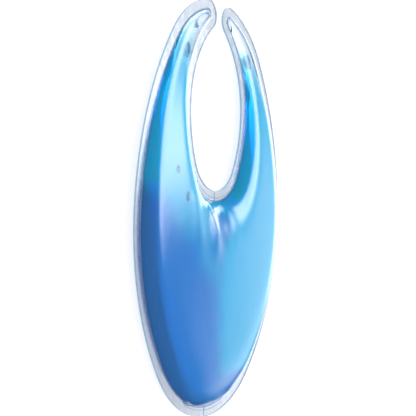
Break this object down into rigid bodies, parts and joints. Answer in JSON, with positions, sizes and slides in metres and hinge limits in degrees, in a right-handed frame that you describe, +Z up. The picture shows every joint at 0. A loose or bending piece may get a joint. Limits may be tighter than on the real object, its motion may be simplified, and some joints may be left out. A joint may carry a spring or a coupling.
{
  "type": "gel eye pillow",
  "caption": "Flat horseshoe pouch of two clear welded films filled with blue gel, with two horns that nearly meet above a long notch, for cooling or warming the eyes and face.",
  "frame": {"origin": "on the resting surface, under the middle of the pouch's bounding box", "axes": "+Z up out of the resting surface, +Y from the rounded nose end to the two horn tips, +X across the width"},
  "size_m": [0.15, 0.22, 0.0134],
  "materials": {
    "clear_film": "clear soft PVC film, glossy",
    "blue_gel": "clear blue gel with a few air bubbles",
    "weld_bead": "clear melted PVC, glossy"
  },
  "bodies": {
    "root": {"upper_film": "clear_film", "lower_film": "clear_film", "gel_fill": "blue_gel", "main_weld_bead": "weld_bead", "closing_weld_bead": "weld_bead"}
  },
  "joints": []
}
